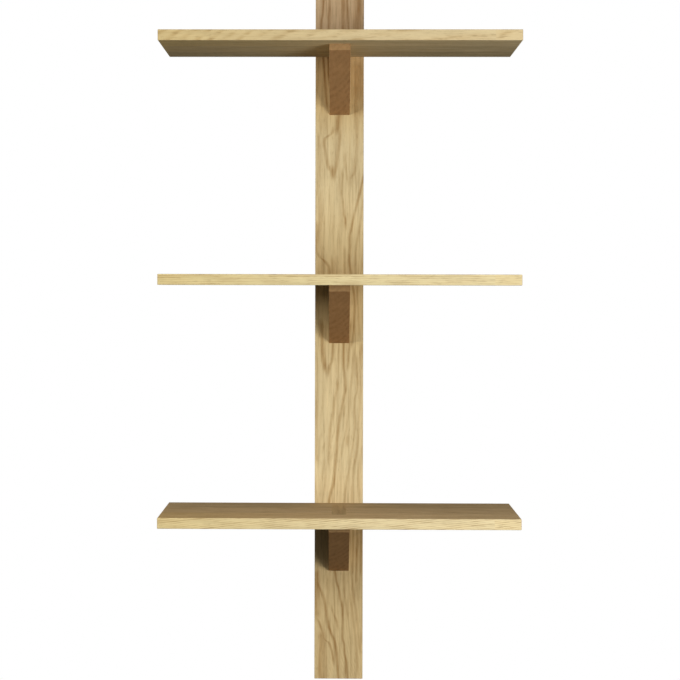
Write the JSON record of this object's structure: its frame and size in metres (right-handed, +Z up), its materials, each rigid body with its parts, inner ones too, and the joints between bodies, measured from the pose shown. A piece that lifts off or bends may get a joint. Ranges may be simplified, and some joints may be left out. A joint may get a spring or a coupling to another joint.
{
  "type": "wall shelf",
  "caption": "Wall shelf with one narrow oak upright hung flat on the wall, plain oak shelves on its front and a wedge-shaped bracket tenoned up through each shelf.",
  "frame": {"origin": "centre of the upright's back face, on the wall", "axes": "+Z up along the upright, +Y into the wall, +X to the right as seen from the front"},
  "size_m": [0.6, 0.218, 1.2],
  "materials": {
    "oak_board": "light oak, sanded, matt oil",
    "oak_bracket": "light oak, oiled; darker where end grain shows",
    "beech_dowel": "raw fluted beech",
    "screw_steel": "zinc plated",
    "plate_steel": "zinc plated"
  },
  "bodies": {
    "root": {"upright": "oak_board", "shelf_top": "oak_board", "bracket_top": "oak_bracket", "dowel_top_left": "beech_dowel", "dowel_top_right": "beech_dowel", "bracket_screw_top_upper": "screw_steel", "bracket_screw_top_lower": "screw_steel", "shelf_middle": "oak_board", "bracket_middle": "oak_bracket", "dowel_middle_left": "beech_dowel", "dowel_middle_right": "beech_dowel", "bracket_screw_middle_upper": "screw_steel", "bracket_screw_middle_lower": "screw_steel", "shelf_bottom": "oak_board", "bracket_bottom": "oak_bracket", "dowel_bottom_left": "beech_dowel", "dowel_bottom_right": "beech_dowel", "bracket_screw_bottom_upper": "screw_steel", "bracket_screw_bottom_lower": "screw_steel", "hanger_plate_upper": "plate_steel", "hanger_screw_upper_above": "screw_steel", "hanger_screw_upper_below": "screw_steel", "hanger_plate_lower": "plate_steel", "hanger_screw_lower_above": "screw_steel", "hanger_screw_lower_below": "screw_steel"}
  },
  "joints": []
}
